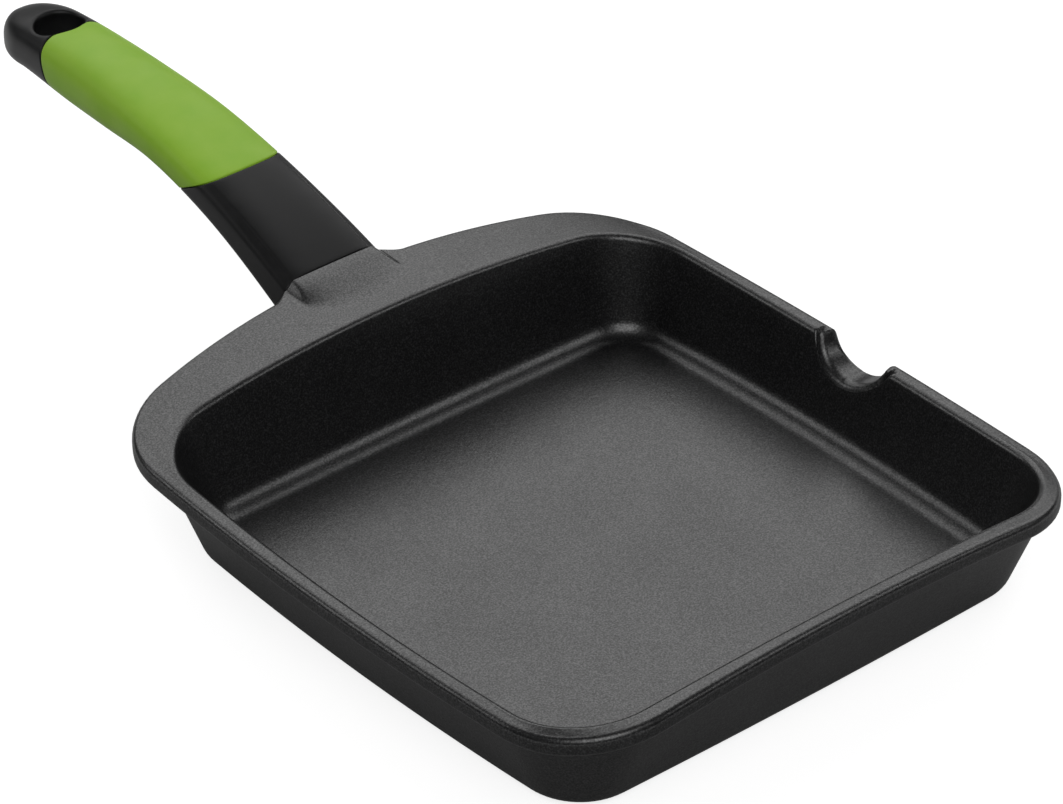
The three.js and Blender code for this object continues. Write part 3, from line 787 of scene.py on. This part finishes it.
# Sprayed and baked non-stick coating on cast aluminium: near-black, satin, so that flat faces shine grey
# and walls stay black, with a fine orange peel and pale mineral flecks
def sprayed_non_stick():
    material, tree, surface, place = new_material("sprayed_non_stick", {"IOR": 1.55})
    grain = add(tree, "TexNoise", {"Vector": place, "Scale": per(0.6), "Detail": 2, "Roughness": 0.6})
    ground = add(tree, "ValToRGB", {"Fac": grain.outputs["Fac"]}, ((0.35, "#060607"), (0.7, "#0C0C0D")))
    fleck = add(tree, "TexNoise", {"Vector": place, "Scale": per(0.55), "Detail": 1, "Roughness": 0.5})
    flecks = add(tree, "ValToRGB", {"Fac": fleck.outputs["Fac"]}, ((0.56, 0), (0.7, 1)))
    colour = add(tree, "MixRGB", {
        "Fac": flecks.outputs["Color"], "Color1": ground.outputs["Color"], "Color2": linear("#232324"),
    })
    shine = add(tree, "ValToRGB", {"Fac": fleck.outputs["Fac"]}, ((0.32, 0.33), (0.68, 0.71)))
    cloud = add(tree, "TexNoise", {"Vector": place, "Scale": per(24), "Detail": 3})
    rough = add(tree, "ValToRGB", {"Fac": cloud.outputs["Fac"]}, ((0.3, 0.3), (0.7, 0.35)))
    peel = add(tree, "TexNoise", {"Vector": place, "Scale": per(1.1), "Detail": 2})
    bump = add(tree, "Bump", {"Height": peel.outputs["Fac"], "Strength": 0.5, "Distance": 0.1 * MM})
    wire(tree, surface, {
        "Base Color": colour.outputs["Color"],
        "Specular IOR Level": shine.outputs["Color"],
        "Roughness": rough.outputs["Color"],
        "Normal": bump.outputs["Normal"],
    })
    return material


# Moulded phenolic resin: black and satin, with a faint cloud and a fine spark-eroded mould texture
def moulded_phenolic():
    constants = {"IOR": 1.55, "Specular IOR Level": 0.18}
    material, tree, surface, place = new_material("moulded_phenolic", constants)
    cloud = add(tree, "TexNoise", {"Vector": place, "Scale": per(6), "Detail": 4})
    colour = add(tree, "ValToRGB", {"Fac": cloud.outputs["Fac"]}, ((0.3, "#0B0B0C"), (0.7, "#121213")))
    rough = add(tree, "ValToRGB", {"Fac": cloud.outputs["Fac"]}, ((0.3, 0.4), (0.7, 0.47)))
    texture = add(tree, "TexNoise", {"Vector": place, "Scale": per(0.5), "Detail": 2})
    bump = add(tree, "Bump", {"Height": texture.outputs["Fac"], "Strength": 0.2, "Distance": 0.04 * MM})
    wire(tree, surface, {
        "Base Color": colour.outputs["Color"],
        "Roughness": rough.outputs["Color"],
        "Normal": bump.outputs["Normal"],
    })
    return material


# Moulded silicone rubber: lime green through and through, soft matt, with a faint dusty bloom
def moulded_silicone():
    constants = {"IOR": 1.42, "Specular IOR Level": 0.4}
    material, tree, surface, place = new_material("moulded_silicone", constants)
    cloud = add(tree, "TexNoise", {"Vector": place, "Scale": per(9), "Detail": 4})
    colour = add(tree, "ValToRGB", {"Fac": cloud.outputs["Fac"]}, ((0.3, "#84B128"), (0.7, "#8CB532")))
    bloom = add(tree, "TexNoise", {"Vector": place, "Scale": per(14), "Detail": 5})
    rough = add(tree, "ValToRGB", {"Fac": bloom.outputs["Fac"]}, ((0.3, 0.46), (0.7, 0.56)))
    grain = add(tree, "TexNoise", {"Vector": place, "Scale": per(0.4), "Detail": 2})
    bump = add(tree, "Bump", {"Height": grain.outputs["Fac"], "Strength": 0.2, "Distance": 0.04 * MM})
    wire(tree, surface, {
        "Base Color": colour.outputs["Color"],
        "Roughness": rough.outputs["Color"],
        "Normal": bump.outputs["Normal"],
    })
    return material


# Turned ferritic stainless steel: grey and shiny, streaked round the disc's middle
WAVE_SPAN = math.pi / 10    # a wave of scale 1 has this length


def turned_steel():
    constants = {"Metallic": 1, "Anisotropic": 0.6}
    material, tree, surface, place = new_material("turned_stainless", constants)
    wave = add(
        tree, "TexWave",
        {"Vector": place, "Scale": WAVE_SPAN * per(0.5), "Distortion": 0.4, "Detail": 1},
        wave_type="RINGS", rings_direction="Z",
    )
    colour = add(tree, "ValToRGB", {"Fac": wave.outputs["Fac"]}, ((0.2, "#B4B5B7"), (0.8, "#C8C9CB")))
    rough = add(tree, "ValToRGB", {"Fac": wave.outputs["Fac"]}, ((0.2, 0.28), (0.8, 0.4)))
    wire(tree, surface, {"Base Color": colour.outputs["Color"], "Roughness": rough.outputs["Color"]})
    return material


# Zinc-plated steel: pale and slightly uneven, brighter than the stainless disc
def zinc_plate():
    material, tree, surface, place = new_material("zinc_plated_steel", {"Metallic": 1})
    cloud = add(tree, "TexNoise", {"Vector": place, "Scale": per(1.6), "Detail": 3})
    colour = add(tree, "ValToRGB", {"Fac": cloud.outputs["Fac"]}, ((0.3, "#B9BCC0"), (0.7, "#D2D4D6")))
    rough = add(tree, "ValToRGB", {"Fac": cloud.outputs["Fac"]}, ((0.3, 0.25), (0.7, 0.38)))
    wire(tree, surface, {"Base Color": colour.outputs["Color"], "Roughness": rough.outputs["Color"]})
    return material


def dress(piece, material):
    piece.data.materials.clear()
    piece.data.materials.append(material)
    piece.data.shade_smooth()
    piece.data.set_sharp_from_angle(angle=SMOOTH_BELOW)


coating, phenolic, silicone = sprayed_non_stick(), moulded_phenolic(), moulded_silicone()
stainless, zinc = turned_steel(), zinc_plate()
for piece, node, slot, finish in (
    (make_casting(), "pan_body", "coated_aluminium", coating),
    (make_disc(), "induction_disc", "stainless_disc", stainless),
    (make_handle(), "handle_core", "phenolic", phenolic),
    (loft("sleeve", sleeve_rings(), loop=True), "grip_sleeve", "silicone", silicone),
    (make_screw(), "handle_screw", "zinc_steel", zinc),
):
    dress(piece, finish)
    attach(piece, "root")
    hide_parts(node)
dress(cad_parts["spring_washer"], zinc)


# Floor and light. The floor is mid grey paper that glows white to the camera. Reflections and glass see the
# glow too, but it fades out on the paper round the part: a painted shadow of the part, seen only by
# reflections and glass.
FLOOR_Z = -0.1              # just clear of the disc
FLOOR_HALF = 8000
# painted shadow round the part: the glow that reflections and glass see fades in between these distances
SHADE_INNER, SHADE_OUTER = 200, 450  # distances from the origin between which the glow fades
GLOW = 0.82
SKY = 0.07
# Softboxes: the way to each, its distance, its width and height in metres, and its power in watts
SOFTBOXES = (
    ("softbox_back", (0.497, 0.552, 0.669), 2.0, (3.2, 1.4), 28),
    ("softbox_left", (-0.55, 0.64, 0.54), 1.8, (0.7, 0.6), 3.5),
    ("softbox_right", (0.54, -0.55, 0.64), 1.8, (0.6, 0.6), 3.5),
    ("softbox_front", (-0.4, -0.5, 0.77), 1.8, (1.2, 1.2), 16),
)


def make_floor():
    places = [(x * FLOOR_HALF, y * FLOOR_HALF, FLOOR_Z) for x, y in CORNERS]
    floor = new_piece("floor", places, [[0, 1, 2, 3]])
    material, tree, paper, place = new_material("pale_paper", {
        "Base Color": linear("#9C9C9C"), "Roughness": 0.9, "Emission Color": linear("#FFFFFF"),
    })
    ray = add(tree, "LightPath").outputs
    # Painted shadow: a mask by distance from the origin that takes the glow out of reflections and glass
    # near the part
    away = add(tree, "VectorMath", {0: place}, operation="LENGTH")
    clear = add(tree, "MapRange", {
        "Value": away.outputs["Value"], "From Min": SHADE_INNER * MM, "From Max": SHADE_OUTER * MM,
    })
    bounced = add(
        tree, "Math", {0: ray["Is Glossy Ray"], 1: ray["Is Transmission Ray"]}, operation="MAXIMUM",
    )
    bounced_glow_with_painted_shadow = add(
        tree, "Math", {0: bounced.outputs["Value"], 1: clear.outputs["Result"]}, operation="MULTIPLY",
    )
    seen = add(tree, "Math", {0: ray["Is Camera Ray"], 1: bounced_glow_with_painted_shadow.outputs["Value"]}, operation="MAXIMUM")
    glow = add(tree, "Math", {0: seen.outputs["Value"], 1: GLOW}, operation="MULTIPLY")
    wire(tree, paper, {"Emission Strength": glow.outputs["Value"]})
    floor.data.materials.append(material)


def make_sky():
    world = bpy.data.worlds.new("studio")
    scene.world = world
    world.use_nodes = True
    tree = world.node_tree
    wire(tree, tree.nodes["Background"], {"Color": linear("#FFFFFF"), "Strength": SKY})


def make_softbox(name, way, distance, size, watts):
    lamp = bpy.data.lights.new(name, "AREA")
    lamp.shape = "RECTANGLE"
    lamp.size, lamp.size_y = size
    lamp.energy = watts
    softbox = bpy.data.objects.new(name, lamp)
    scene.collection.objects.link(softbox)
    way = Vector(way).normalized()
    softbox.location = way * distance
    softbox.rotation_euler = way.to_track_quat("Z", "Y").to_euler()


make_floor()
make_sky()
for softbox in SOFTBOXES:
    make_softbox(*softbox)
